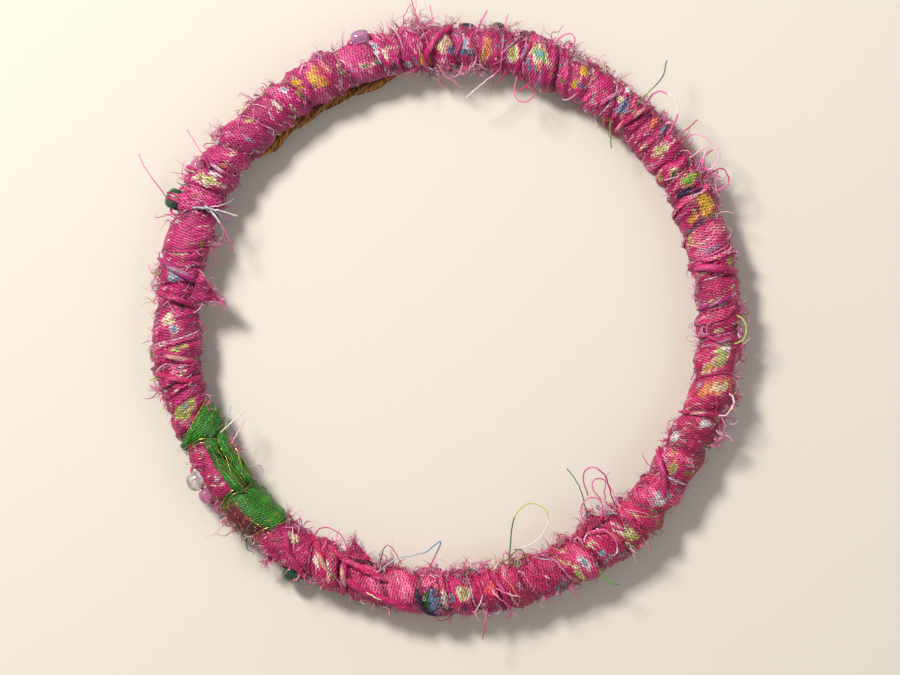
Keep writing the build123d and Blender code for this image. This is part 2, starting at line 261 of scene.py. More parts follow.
# Single loose threads: points in millimetres seen from above, rise over the ends, radius and colours.
LOOSE = (
    (((7.4, -34.4), (8.1, -30.9), (8.4, -26.8), (9.3, -24.8), (11.0, -23.9), (12.6, -24.7), (13.1, -26.2),
      (12.2, -28.2), (10.6, -29.4), (9.1, -30.1), (7.3, -31.9)), 3.2, 0.11, "olive green lime white olive"),
    (((8.7, -30.1), (9.8, -30.2), (10.3, -32.4)), 1.5, 0.10, "green"),
    (((1.8, -33.4), (3.1, -32.6), (4.3, -33.4)), 1.0, 0.10, "dark_green"),
    (((21.9, -24.4), (21.2, -22.7), (20.5, -20.5), (19.3, -19.4), (18.1, -19.5), (17.6, -20.7),
      (18.3, -23.0)), 3.0, 0.12, "magenta pink"),
    (((15.6, -19.5), (17.2, -22.0), (18.2, -26.0)), 2.0, 0.09, "green"),
    (((22.6, -24.8), (20.8, -21.4), (19.2, -20.8), (18.9, -22.2), (20.4, -24.0), (22.0, -25.6)), 1.8, 0.11,
     "pale_pink pink pale_pink"),
    (((19.0, -27.2), (17.4, -25.6), (17.9, -23.6), (19.6, -23.4), (20.2, -25.2), (19.4, -27.4)), 1.6, 0.11,
     "pink"),
    (((18.2, -30.6), (17.9, -28.4), (19.6, -27.4), (21.4, -28.2), (22.1, -30.2), (20.6, -31.4)), 1.9, 0.14,
     "pale_pink pink white"),
    (((-9.1, -33.0), (-6.9, -31.4), (-4.3, -30.7), (-2.8, -30.3), (-0.9, -29.1), (-2.4, -32.6)), 1.6, 0.11,
     "grey grey teal magenta"),
    (((-9.1, -32.8), (-8.2, -29.8), (-7.3, -29.7), (-6.0, -32.0)), 1.8, 0.09, "green pink"),
    (((2.4, 28.8), (3.6, 29.8), (5.6, 31.4), (7.0, 32.6)), 1.0, 0.11, "white pale_pink pink"),
    (((3.4, 36.6), (4.2, 38.4), (5.2, 40.1)), 1.0, 0.12, "pink"),
    (((5.2, -37.2), (4.9, -39.6), (4.6, -41.8)), 0.6, 0.10, "pink magenta"),
    (((-11.8, -34.7), (-9.6, -36.1), (-7.3, -37.3)), 1.7, 0.10, "orange cream orange"),
    (((5.0, -34.4), (6.6, -36.2), (8.2, -37.6)), 1.7, 0.10, "pale_pink pink"),
    (((4.8, -34.6), (4.4, -36.6), (3.6, -38.2)), 1.7, 0.09, "grey white"),
    (((5.2, -34.6), (8.0, -35.8), (10.4, -36.4)), 1.7, 0.11, "pink pale_pink"),
    (((-33.2, 14.4), (-30.2, 13.9), (-28.4, 11.9)), 1.7, 0.09, "grey teal"),
    (((-31.4, 14.2), (-29.6, 12.6), (-28.9, 10.2)), 1.4, 0.09, "grey grey pink"),
    (((-32.2, 14.4), (-29.2, 14.8), (-27.8, 15.6)), 1.3, 0.08, "white grey"),
    (((29.2, 21.6), (31.8, 24.0), (34.0, 23.4), (35.4, 21.4), (34.2, 19.4), (33.0, 20.6), (34.6, 22.0)), 1.0,
     0.14, "pink pale_pink pink"),
    (((33.4, 18.4), (35.8, 19.6), (36.6, 17.6), (35.0, 16.8), (35.2, 19.2)), 0.8, 0.13, "magenta pink"),
    (((31.6, 21.0), (33.6, 22.2), (33.2, 19.8), (35.6, 18.4)), 1.2, 0.12, "pale_pink pink"),
    (((24.4, 27.6), (25.5, 28.8), (27.8, 31.2), (28.6, 33.6)), 1.4, 0.10, "bright_green green"),
    (((25.6, 27.6), (26.8, 29.3), (28.2, 29.4), (29.7, 28.2), (29.8, 26.2), (28.9, 24.4), (28.0, 23.2)), 1.8,
     0.15, "pink pink white pink pink"),
    (((29.6, 21.8), (30.3, 23.8), (32.6, 25.9)), 1.2, 0.09, "warm"),
    (((37.4, 0.6), (38.6, -0.2), (38.9, -1.6), (38.4, -2.8), (37.0, -3.4)), 0.8, 0.13, "lime"),
    (((36.4, -9.4), (37.3, -10.5), (37.0, -11.6), (36.1, -12.6), (34.4, -12.4)), 0.8, 0.13,
     "white pale_pink"),
    (((-33.8, 14.5), (-31.0, 14.3), (-27.4, 13.4)), 2.0, 0.14, "grey white"),
    (((-33.0, 14.4), (-31.0, 14.3), (-28.6, 12.8)), 1.6, 0.12, "grey pink"),
    (((-32.6, 14.9), (-31.0, 14.3), (-28.9, 11.4), (-28.0, 8.8)), 1.8, 0.10, "white pink"),
    (((-40.3, 21.5), (-38.9, 19.0), (-36.0, 15.0)), 1.4, 0.08, "pink magenta"),
    (((-34.0, 24.7), (-31.6, 21.0), (-30.6, 19.0)), 1.4, 0.08, "pink magenta"),
    (((18.6, -30.8), (20.7, -34.0), (22.4, -34.7)), 0.6, 0.12, "bright_green"),
    (((22.2, 26.4), (21.2, 25.2), (21.4, 22.2)), 0.8, 0.10, "bright_green"),
    (((-2.0, 34.4), (-3.0, 37.0), (-3.9, 39.0), (-4.7, 41.5)), 1.6, 0.09, "pink magenta"),
    (((-2.2, 34.6), (-2.6, 36.9), (-2.0, 38.9), (-2.3, 40.8)), 1.6, 0.09, "magenta pink"),
    (((-5.6, 34.6), (-6.2, 36.4), (-7.3, 37.9), (-8.2, 38.3)), 1.4, 0.09, "pale_pink"),
    (((13.4, 34.6), (14.3, 36.3), (15.9, 37.1), (16.6, 36.2), (15.8, 35.2), (14.6, 35.6)), 1.2, 0.11,
     "pink"),
    (((9.0, 31.6), (8.7, 29.2), (10.0, 28.2), (11.3, 29.2), (10.4, 30.2), (9.2, 29.6), (11.8, 31.4)), 1.0,
     0.11, "pink magenta"),
    (((-18.2, -29.8), (-16.4, -27.2), (-14.0, -28.0), (-12.8, -30.6)), 1.6, 0.10, "magenta pink"),
    (((-30.4, -15.6), (-28.2, -13.6), (-26.6, -12.2)), 0.8, 0.11, "cream white"),
    (((-29.6, -18.2), (-27.6, -15.4), (-26.4, -13.2)), 1.0, 0.11, "pink pale_pink"),
    (((-29.0, -14.2), (-28.4, -12.4), (-28.2, -11.4)), 0.6, 0.10, "grey"),
)


def linear(name):
    """A palette colour as linear RGB."""
    srgb = np.array(PALETTE[name.replace("_", " ")]) / 255
    return np.where(srgb <= 0.04045, srgb / 12.92, ((srgb + 0.055) / 1.055) ** 2.4)


def colour_row(names):
    """Several palette colours as rows of linear RGB."""
    return np.array([linear(name) for name in names.split()])


# ---- repeatable noise ---------------------------------------------------------------------------
def lattice(ix, iy, seed):
    """A repeatable number from 0 to 1 for each lattice point."""
    ix, iy = np.asarray(ix).astype(np.int64), np.asarray(iy).astype(np.int64)
    n = ix * 374761393 + iy * 668265263 + seed * 974711
    n = ((n ^ (n >> 13)) & 0x7FFFFFFF) * 1274126177
    n = (n ^ (n >> 16)) & 0xFFFFF
    return n / 0xFFFFF


def noise(x, y, seed):
    """Smooth noise from 0 to 1."""
    x, y = np.broadcast_arrays(np.asarray(x, float), np.asarray(y, float))
    ix, iy = np.floor(x), np.floor(y)
    fx, fy = x - ix, y - iy
    fx = fx * fx * (3 - 2 * fx)
    fy = fy * fy * (3 - 2 * fy)
    near = lattice(ix, iy, seed) * (1 - fx) + lattice(ix + 1, iy, seed) * fx
    far = lattice(ix, iy + 1, seed) * (1 - fx) + lattice(ix + 1, iy + 1, seed) * fx
    return near * (1 - fy) + far * fy


def ridges(x, y, seed):
    """Noise with sharp crests, from 0 to 1."""
    return 1 - np.abs(2 * noise(x, y, seed) - 1)


def smooth(low, high, x):
    """0 below low, 1 above high, smooth between; low may be the larger."""
    t = np.clip((x - low) / (high - low), 0, 1)
    return t * t * (3 - 2 * t)


# ---- places round the hoop ----------------------------------------------------------------------
def round_hoop(phi, distance, height):
    """Points from the angle round the hoop in radians, the distance from its axis and the height."""
    return np.stack([distance * np.cos(phi), distance * np.sin(phi), height], axis=-1)


def angle_of(point):
    """A point's angle round the hoop, in degrees."""
    return math.degrees(math.atan2(point[1], point[0]))


def from_axis(point):
    """The level direction from the hoop's axis to a point."""
    return np.array([point[0], point[1], 0]) / math.hypot(point[0], point[1])


def on_cloth(x, y):
    """Cloth coordinates: millimetres along and across the cloth."""
    return np.stack([x, y, np.zeros(x.shape)], axis=-1)


# ---- the winding as one helix -------------------------------------------------------------------
def all_creases():
    """Every crease in order, as angles that keep growing, and the number of each strip's first turn."""
    angles, first = [], {}
    for name, creases in STRIPS.items():
        first[name] = len(angles)
        for angle in creases[:-1]:
            while angles and angle < angles[-1]:
                angle += 360
            angles.append(angle)
    return np.array(angles), first


CREASES, FIRST_TURN = all_creases()
TURNS = len(CREASES)


def turns_of(name):
    """The number of a strip's first turn, and how many turns it makes."""
    return FIRST_TURN[name], len(STRIPS[name]) - 1


def crease_number(angle):
    """Which turn starts at a crease."""
    return int(np.argmin(np.abs(np.mod(CREASES, 360) - angle)))


def crease_angle(t):
    """Angle of the crease line where the strip has made t turns: whole numbers are at the top."""
    whole = np.floor(t)
    share = t - whole
    here = CREASES[np.mod(whole, TURNS).astype(int)] + 360 * np.floor(whole / TURNS)
    after = CREASES[np.mod(whole + 1, TURNS).astype(int)] + 360 * np.floor((whole + 1) / TURNS)
    once = np.mod(t, TURNS)
    wander = 2.1 * (noise(once * 3.1, 0.5, 11) - 0.5) + 0.5 * (noise(once * 9.7, 4.5, 17) - 0.5)
    for crease, (shift, slant) in SLANTS.items():
        gap = np.mod(t - crease_number(crease) + TURNS / 2, TURNS) - TURNS / 2
        near = smooth(0.5, 0.3, np.abs(gap))
        wander = wander * (1 - near) + near * (shift + slant * np.sin(2 * np.pi * t))
    return here * (1 - share) + after * share + wander


def crease_radius(t):
    """Radius of the tube along a crease: some creases are deep and some hardly show."""
    return CREASE + 0.62 * smooth(0.25, 0.75, noise(np.mod(t, TURNS) * 1.15, 6.6, 19))


def fold_depth(t):
    """How deep the folds along the strip are: shallow on some turns and deep on others."""
    angle = np.mod(crease_angle(np.floor(t + 0.3)), 360)
    depth = 0.28 + 0.26 * noise(np.mod(t, TURNS) * 0.8, 3.3, 21)
    for start in SMOOTH_TURNS:
        depth = np.where(np.abs(angle - start) < 1.2, 0.12, depth)
    for start in STREAKY_TURNS:
        depth = np.where(np.abs(angle - start) < 1.2, 0.56, depth)
    return depth


def tube_radius(t, s, width, crown):
    """Radius of the silk over the visible width of a turn, s from 0 to 1."""
    once = np.mod(t, TURNS)
    skew = 0.70 + 0.7 * noise(once * 0.9, 8.1, 5)
    across = np.clip(s, 0, 1) ** skew
    bulge = 1 - np.abs(2 * across - 1) ** 2.1
    fullness = crown - 0.14 + 0.66 * (noise(once * 1.1, 1.7, 6) - 0.5)
    fullness = fullness + 0.42 * (noise(once * 5.1, 2.2, 7) - 0.5)
    drift = 3.6 * noise(once * 1.3, 3.1, 16)
    crossways = s * width + drift
    folds = ridges(crossways / 1.5, once * GIRTH / 13, 8) - 0.55
    folds = folds + 0.55 * (ridges(crossways / 0.62, once * GIRTH / 8, 10) - 0.5)
    puckers = noise(crossways / 2.0, once * 15, 12) - 0.5
    depth = fold_depth(t) * smooth(0, 0.1, across) * smooth(1, 0.9, across)
    crease = crease_radius(t) * (1 - across) + crease_radius(t + 1) * across
    return crease + (fullness - crease) * bulge + depth * folds + 0.20 * puckers * bulge


def lap_share(t):
    """How far a turn's torn edge laps over the turn before it."""
    once = np.mod(t, TURNS)
    return 0.42 * smooth(0.60, 0.85, noise(once * 1.9, 4.4, 13)) + 0.06 * noise(once * 27, 0.2, 14)


def cloth_point(t, q, crown, lift=0.0):
    """Points of the wound strip: q is 0 at the torn edge, 1 at the next crease, 2 at the tucked edge."""
    lap = lap_share(t)
    start, end, before = crease_angle(t), crease_angle(t + 1), crease_angle(t - 1)
    width = np.radians(end - start) * RING
    hidden = np.maximum(1.5, CUT_WIDTH - width * (1 + lap)) / width
    s = np.where(q < 1, -lap + q * (1 + lap), 1 + (q - 1) * hidden)
    phi = np.radians(start + (end - start) * s)
    before_width = np.radians(start - before) * RING
    s_before = 1 + s * width / before_width
    own = tube_radius(t, s, width, crown)
    lapped = tube_radius(t - 1, s_before, before_width, crown) + CLOTH + 0.14 * smooth(0, -0.3, s)
    tucked = np.maximum(CREASE - 0.10 - 0.10 * (s - 1), WRAP + CLOTH)
    radius = np.where(s < 0, np.maximum(lapped, own), np.where(s > 1, tucked, own)) + lift
    return tube_point(phi, np.pi / 2 - 2 * np.pi * t, radius), s, phi, width


def tube_point(phi, theta, radius):
    """A point beside the hoop's centre line, from angles in radians and a distance from that line."""
    east, north = np.cos(phi), np.sin(phi)
    sag = 0.35 * np.maximum(-north, 0) ** 2
    sway = (0.45 * (noise(east * 4.3 + 9, north * 4.3 + 9, 15) - 0.5) + sag) * (radius > WRAP + 0.4)
    lumps = 0.46 * (noise(east * 15 + 40 + 0.7 * np.cos(theta), north * 15 + 40, 18) - 0.5)
    reach = radius + lumps * smooth(WRAP, CROWN, radius)
    flat = RING + sway + reach * np.cos(theta)
    return round_hoop(phi, flat, reach * np.sin(theta))


def on_top(angle, across, height):
    """A point over the winding, from the angle, the place across and the height above the crown."""
    theta = math.acos(max(-1.0, min(1.0, across)))
    return tube_point(np.array(math.radians(angle)), np.array(theta), np.array(CROWN + height))


# ---- meshes -------------------------------------------------------------------------------------
def place_object(name, data):
    """A new object in the scene."""
    placed = bpy.data.objects.new(name, data)
    bpy.context.scene.collection.objects.link(placed)
    return placed


THREAD_SHADE = 0.45         # how dark a thread's shade colour is against its tint: painted shade in the gaps where the woven silk is used, darker streaks on plain loose threads


class Mesh:
    """Grids of points, each with its colours and cloth coordinates, gathered into one mesh."""

    def __init__(self):
        self.parts = []
        self.count = 0

    def add_grid(self, points, tint, shade, cloth, material=0, closed=False):
        """Quads over a grid of points. closed joins the last column to the first."""
        rows, columns = points.shape[:2]
        number = np.arange(rows * columns).reshape(rows, columns) + self.count
        across = np.concatenate([number, number[:, :1]], axis=1) if closed else number
        faces = np.stack([across[:-1, :-1], across[:-1, 1:], across[1:, 1:], across[1:, :-1]], axis=-1)
        faces = faces.reshape(-1, 4)
        columns_of_three = [values.reshape(-1, 3) for values in (points, tint, shade, cloth)]
        self.parts.append((*columns_of_three, faces, np.full(len(faces), material)))
        self.count += rows * columns

    def add_thread(self, path, radius, colours, sides=3, plies=0, pitch=1.0, taper=True, material=0):
        """A tube along a path. plies twists that many strands into it."""
        ahead = np.gradient(path, axis=0)
        ahead /= np.linalg.norm(ahead, axis=1)[:, None] + 1e-12
        side = np.cross(ahead, np.array([0.31, 0.22, 1.0]))
        side /= np.linalg.norm(side, axis=1)[:, None] + 1e-12
        lift = np.cross(side, ahead)
        gone = np.concatenate([[0], np.cumsum(np.linalg.norm(np.diff(path, axis=0), axis=1))])
        turn, along = np.meshgrid(np.linspace(0, 2 * np.pi, sides, endpoint=False), gone)
        size = np.full(turn.shape, float(radius))
        if plies:
            size *= 0.74 + 0.26 * np.abs(np.cos(0.5 * plies * (turn - 2 * np.pi * along / pitch)))
        share = gone / max(gone[-1], 1e-9)
        if taper:
            size *= np.clip(1.3 - share ** 2, 0.3, 1)[:, None]
        if plies:
            size *= (0.45 + 0.55 * smooth(0, 0.12, share) * smooth(1, 0.88, share))[:, None]
        points = path[:, None] + side[:, None] * (np.cos(turn) * size)[..., None]
        points = points + lift[:, None] * (np.sin(turn) * size)[..., None]
        if plies:
            strand = np.floor(plies * (turn / (2 * np.pi) - along / pitch) + 0.5).astype(int)
            tint = colours[np.mod(strand, len(colours))]
        else:
            nearest = np.round(share * (len(colours) - 1)).astype(int)
            tint = np.repeat(colours[nearest][:, None], sides, axis=1)
        cloth = on_cloth(along, turn * radius)
        # the darker copy is the shade colour: painted shade in the gaps of the weave on threads with the woven
        # silk
        self.add_grid(points, tint, tint * THREAD_SHADE, cloth, material, closed=True)

    def make(self, name, materials):
        """The gathered grids as one object that rides on the hoop."""
        points, tint, shade, cloth, faces, which = (np.concatenate(column) for column in zip(*self.parts))
        mesh = bpy.data.meshes.new(name)
        mesh.vertices.add(len(points))
        mesh.vertices.foreach_set("co", (points * MM).ravel())
        mesh.loops.add(faces.size)
        mesh.loops.foreach_set("vertex_index", faces.ravel())
        mesh.polygons.add(len(faces))
        mesh.polygons.foreach_set("loop_start", np.arange(0, faces.size, 4))
        for material in materials:
            mesh.materials.append(material)
        mesh.polygons.foreach_set("material_index", which)
        mesh.update(calc_edges=True)
        mesh.polygons.foreach_set("use_smooth", np.ones(len(faces), bool))
        for attribute, values in (("tint", tint), ("shade", shade), ("cloth", cloth)):
            layer = mesh.attributes.new(attribute, "FLOAT_VECTOR", "POINT")
            layer.data.foreach_set("vector", values.astype(np.float32).ravel())
        mesh.validate()
        piece = place_object(name, mesh)
        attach(piece, ROOT)
        return piece


def curve_through(stops, count):
    """A smooth path through given points."""
    stops = np.asarray(stops, float)
    padded = np.vstack([2 * stops[0] - stops[1], stops, 2 * stops[-1] - stops[-2]])
    place = np.linspace(0, len(stops) - 1, count)
    k = np.minimum(place.astype(int), len(stops) - 2)
    f = (place - k)[:, None]
    a, b, c, d = padded[k], padded[k + 1], padded[k + 2], padded[k + 3]
    straight = 2 * b + (c - a) * f
    return 0.5 * (straight + (2 * a - 5 * b + 4 * c - d) * f ** 2 + (3 * b - a - 3 * c + d) * f ** 3)


# ---- materials ----------------------------------------------------------------------------------
class Finish:
    """A new material, with short ways to wire its nodes."""

    def __init__(self, name):
        self.material = bpy.data.materials.new(name)
        self.material.use_nodes = True
        self.nodes = self.material.node_tree.nodes
        self.links = self.material.node_tree.links
        self.shader = self.nodes["Principled BSDF"]

    def put(self, socket, value):
        """Feed a socket from another socket or a plain value."""
        if isinstance(value, bpy.types.NodeSocket):
            self.links.new(value, socket)
        else:
            socket.default_value = value

    def shade(self, values):
        """Feed several inputs of the shader, by name."""
        for name, value in values.items():
            self.put(self.shader.inputs[name], value)

    def math(self, kind, first, second=0.0, third=0.0, clamp=False):
        """A Math node."""
        node = self.nodes.new("ShaderNodeMath")
        node.operation = kind
        node.use_clamp = clamp
        for socket, value in zip(node.inputs, (first, second, third)):
            self.put(socket, value)
        return node.outputs[0]

    def attribute(self, name):
        """A vector stored on the mesh."""
        node = self.nodes.new("ShaderNodeAttribute")
        node.attribute_name = name
        return node.outputs["Vector"]

    def place(self):
        """A point's place on its own piece."""
        return self.nodes.new("ShaderNodeTexCoord").outputs["Object"]

    def noise(self, vector, scale, detail=2.0, stretch=(1, 1, 1)):
        """Noise of a vector that may be stretched."""
        mapping = self.nodes.new("ShaderNodeMapping")
        mapping.inputs["Scale"].default_value = stretch
        self.put(mapping.inputs["Vector"], vector)
        node = self.nodes.new("ShaderNodeTexNoise")
        node.inputs["Scale"].default_value = scale
        node.inputs["Detail"].default_value = detail
        self.put(node.inputs["Vector"], mapping.outputs[0])
        return node.outputs[0]

    def mix(self, share, first, second):
        """A mix of two colours."""
        node = self.nodes.new("ShaderNodeMix")
        node.data_type = "RGBA"
        self.put(node.inputs["Factor"], share)
        self.put(node.inputs["A"], first)
        self.put(node.inputs["B"], second)
        return node.outputs["Result"]

    def bump(self, height, strength, distance):
        """Bump on the shader from a height."""
        node = self.nodes.new("ShaderNodeBump")
        node.inputs["Strength"].default_value = strength
        node.inputs["Distance"].default_value = distance * MM
        self.put(node.inputs["Height"], height)
        self.put(self.shader.inputs["Normal"], node.outputs[0])


def woven(name, pitch=WEAVE, gain=1.5, depth=1.0, rough=0.46, sheen=0.1, sheen_tint=(1, 0.7, 0.85)):
    """Woven cloth: thread crowns in the tint and gaps in the darker shade colour, which is painted shade between
    the threads; uneven threads and a soft sheen.
    """
    finish = Finish(name)
    cloth = finish.attribute("cloth")
    split = finish.nodes.new("ShaderNodeSeparateXYZ")
    finish.put(split.inputs[0], cloth)
    wobble = finish.math("MULTIPLY", finish.noise(cloth, 1.7, 3.0), 3.0 * pitch)
    weft = finish.math("ADD", split.outputs["X"], wobble)
    warp = finish.math("SUBTRACT", split.outputs["Y"], wobble)
    weft = finish.math("SINE", finish.math("MULTIPLY", weft, math.pi / (2.1 * pitch)))
    warp = finish.math("SINE", finish.math("MULTIPLY", warp, math.pi / pitch))
    crossing = finish.math("MULTIPLY", weft, warp)
    lengthways = finish.noise(cloth, 1.0 / pitch, 1.0, (0.12, 0.9, 1))
    crossways = finish.noise(cloth, 1.0 / pitch, 1.0, (0.9, 0.12, 1))
    uneven = finish.math("ADD", lengthways, crossways)
    patches = finish.math("MULTIPLY_ADD", finish.noise(cloth, 0.9, 3.0), 0.9, -0.45)
    # share lays the tint on the raised crowns and the shade colour in the low gaps: painted shade between the
    # threads
    share = finish.math("MULTIPLY_ADD", crossing, gain * 0.5, 0.5)
    share = finish.math("ADD", share, finish.math("MULTIPLY_ADD", uneven, 1.1, -1.1))
    share = finish.math("ADD", share, patches, clamp=True)
    finish.bump(finish.math("MULTIPLY_ADD", crossing, 0.5, 0.5), depth, 0.08)
    finish.shade({
        "Base Color": finish.mix(share, finish.attribute("shade"), finish.attribute("tint")),
        "Roughness": finish.math("ADD", finish.math("MULTIPLY", uneven, 0.15), rough - 0.15),
        "Sheen Weight": sheen,
        "Sheen Roughness": 0.35,
        "Sheen Tint": (*sheen_tint, 1),
        "Specular IOR Level": 0.4,
    })
    return finish.material


def thread_material(name):
    """Loose thread: its own colour with fine streaks along it."""
    finish = Finish(name)
    streak = finish.noise(finish.attribute("cloth"), 2.5)
    share = finish.math("MULTIPLY_ADD", streak, 1.6, -0.1, clamp=True)
    finish.shade({
        "Base Color": finish.mix(share, finish.attribute("shade"), finish.attribute("tint")),
        "Roughness": 0.5,
        "Sheen Weight": 0.3,
        "Sheen Roughness": 0.4,
    })
    return finish.material


def glass(name, colour, clear, film=0.0):
    """Seed bead glass with faint streaks of colour and, on some, an iridescent film."""
    finish = Finish(name)
    streak = finish.noise(finish.place(), 900, 2.0)
    base = np.array(colour)
    finish.shade({
        "Base Color": finish.mix(streak, (*(base * 0.6), 1), (*np.clip(base * 1.4, 0, 1), 1)),
        "Roughness": finish.math("MULTIPLY", streak, 0.16),
        "Transmission Weight": clear,
        "IOR": 1.5,
        "Coat Weight": 0.5,
        "Coat Roughness": 0.05,
        "Thin Film Thickness": film,
    })
    return finish.material


def metal(name, colour, rough):
    """Metal with a fine grain."""
    finish = Finish(name)
    grain = finish.noise(finish.place(), 2500, 3.0)
    base = np.array(colour)
    finish.shade({
        "Base Color": finish.mix(grain, (*(base * 0.45), 1), (*base, 1)),
        "Roughness": finish.math("ADD", finish.math("MULTIPLY", grain, 0.2), rough - 0.1),
        "Metallic": 1.0,
    })
    finish.bump(grain, 0.4, 0.02)
    return finish.material


SILK = woven("printed_silk")
GREEN_SILK = woven("green_silk_cloth", pitch=0.16, gain=1.4, sheen=0.06, sheen_tint=(0.7, 1, 0.5))
COTTON = woven("ochre_cotton_cloth", pitch=0.32, rough=0.8, sheen=0.15, sheen_tint=(1, 0.9, 0.7))
THREAD = thread_material("loose_thread")
GOLD = metal("zari_metal", (0.90, 0.62, 0.22), 0.3)
STEEL = metal("drawn_steel", (0.56, 0.56, 0.58), 0.35)


def silk_of(green):
    """The cloth and the material slot of a strip."""
    return (GREEN_SILK, "green_silk") if green else (SILK, "magenta_silk")


# ---- beads: where they are, so that the silk makes room ------------------------------------------
def beside_axis(offset, axis):
    """How far along an axis points lie, and their way out from it."""
    along = offset @ axis
    return along, offset - along[:, None] * axis


def bead_list():
    """Centre, axis, radius and half length of each bead, from the frame."""
    beads = []
    for joint in frame["joints"]:
        node = frame["nodes"]["seed_" + joint["child"]]
        centre = np.array(joint["pos_m"]) / MM
        axis = np.array(joint["axis"])
        points = np.array([v.co for v in node.data.vertices]) / MM - centre
        along, away = beside_axis(points, axis)
        beads.append((centre, axis, np.linalg.norm(away, axis=1).max(), along.max()))
    return beads


BEADS = bead_list()
BEAD_ROOM = 0.14            # how far the silk keeps from a bead


def clear_beads(points):
    """Move points out of the room that each bead turns in."""
    for centre, axis, radius, half in BEADS:
        offset = points - centre
        near = np.abs(offset).max(axis=-1) < radius + half + 1
        if not near.any():
            continue
        along, away = beside_axis(offset[near], axis)
        distance = np.linalg.norm(away, axis=1) + 1e-9
        inside = smooth(half + 0.5, half + 0.2, np.abs(along))
        push = np.maximum(radius + BEAD_ROOM - distance, 0) * inside
        points[near] += away / distance[:, None] * push[:, None]
    return points


# ---- colour of the cloth -------------------------------------------------------------------------
def ground(phi, x, y, seed):
    """The magenta ground: the thread colour, and a darker gap colour that is painted shade between the threads;
    cooler at the upper left and warmer opposite.
    """
    cool = (0.5 + 0.5 * np.cos(np.radians(phi - 130)))[..., None]
    middle = linear("magenta") * 0.4 + 0.6 * (linear("violet") * cool + linear("warm") * (1 - cool))
    tone = 0.55 * noise(x * 0.16, y * 0.35, seed) + 0.25 * noise(x * 0.5, y * 1.2, seed + 1)
    tone = (tone + 0.20 * noise(x * 0.6, y * 5.5, seed + 2))[..., None]
    tint = middle * (0.56 + 1.06 * tone) + linear("pale pink") * 0.32 * smooth(0.56, 0.85, tone)
    # painted shade: the dark colour that the woven finish lays in the gaps between the threads
    shade = (linear("deep") * 0.50 + middle * 0.07) * (0.3 + tone)
    return tint, shade


def motif_places():
    """Each motif's place on the winding: turns made, share across, and its sizes and colours."""
    placed = []
    for angle, across, length, width, colours in MOTIFS:
        part = (90 - math.degrees(math.acos(across))) / 360
        here = angle + 360 if angle < CREASES[0] else angle
        for k in range(TURNS):
            start = float(crease_angle(np.array(k + part)))
            end = float(crease_angle(np.array(k + 1 + part)))
            if start <= here < end:
                placed.append((k + part, (here - start) / (end - start), length, width, colours))
    picks = random.Random(7)
    for i in range(HIDDEN_MOTIFS):
        t = picks.randrange(TURNS) + picks.uniform(0.36, 0.64)
        placed.append((t, picks.uniform(0.15, 0.85), picks.uniform(1.0, 3.0), picks.uniform(0.6, 2.0),
                       picks.choice(PRINT_COLOURS)))
    return placed


PLACED = motif_places()


def print_motifs(tint, shade, t, s, x, y, width):
    """Lay the printed motifs over the ground colour, thread by thread."""
    cell = lattice(np.floor(x / WEAVE), np.floor(y / WEAVE), 77)
    for number, (t0, s0, length, wide, colours) in enumerate(PLACED):
        near = np.abs(t - t0) < MOTIF_REACH
        if not near.any():
            continue
        along = (t[near] - t0) * GIRTH / (length / 2)
        across = (s[near] - s0) * width[near] / (wide / 2)
        ragged = 0.9 * (noise(x[near] * 1.6, y[near] * 1.6, 100 + number) - 0.5) + 0.6 * (cell[near] - 0.5)
        reach = np.sqrt(along ** 2 + across ** 2) + ragged
        for depth, name in enumerate(colours.split()):
            edge = 1.15 - 0.42 * depth
            dropped = np.where(cell[near] > 0.82, 0.25, 1.0)
            amount = (smooth(edge, edge - 0.25, reach) * 0.95 * dropped)[:, None]
            tint[near] = tint[near] * (1 - amount) + linear(name) * 1.05 * amount
            # each motif's gap colour is a darker copy of it: painted shade between the threads
            shade[near] = shade[near] * (1 - amount * 0.75) + linear(name) * 0.30 * amount * 0.75
    return tint, shade


def speckle(tint, phi, x, y):
    """Small flecks of the print between the motifs, closest together on the right of the picture."""
    lit = 0.5 + 0.5 * np.cos(np.radians(phi - 30))
    where = smooth(0.76 - 0.12 * lit, 0.90, noise(x * 1.1, y * 3.4, 61))[..., None] * 0.75
    kind = (lattice(np.floor(x / 3), np.floor(y / 2), 62) * 7.99).astype(int)
    flecks = colour_row("cream pale_pink white grey pale_pink cream olive teal")[kind]
    return tint * (1 - where) + flecks * where


def green_colours(phi, across, x, y):
    """The green ground with its gold specks; the lower puff turns dark maroon towards the outer rim."""
    tone = (0.6 * noise(x * 0.4, y * 0.8, 31) + 0.4 * noise(x * 1.1, y * 2.1, 32))[..., None]
    tint = linear("green") * 0.5 + linear("bright green") * 0.95 * tone
    # painted shade: a dark green for the gaps between the threads
    shade = linear("dark green") * (0.3 + 0.5 * tone)
    tangle = (smooth(0.05, 0.35, across + 0.3 * (noise(x, y, 33) - 0.5)) * smooth(219.5, 221.5, phi)
              * smooth(231, 228.5, phi))[..., None]
    tint = tint * (1 - tangle) + (linear("maroon") * 1.5 + linear("magenta") * 0.2 * tone) * tangle
    # the tangle's dark maroon gap colour is painted shade as well
    shade = shade * (1 - tangle) + linear("maroon") * 0.4 * tangle
    fleck = lattice(np.floor(x / 0.2), np.floor(y / 0.2), 34)[..., None] > 0.988 - 0.08 * tangle
    return np.where(fleck, linear("gold"), tint), shade


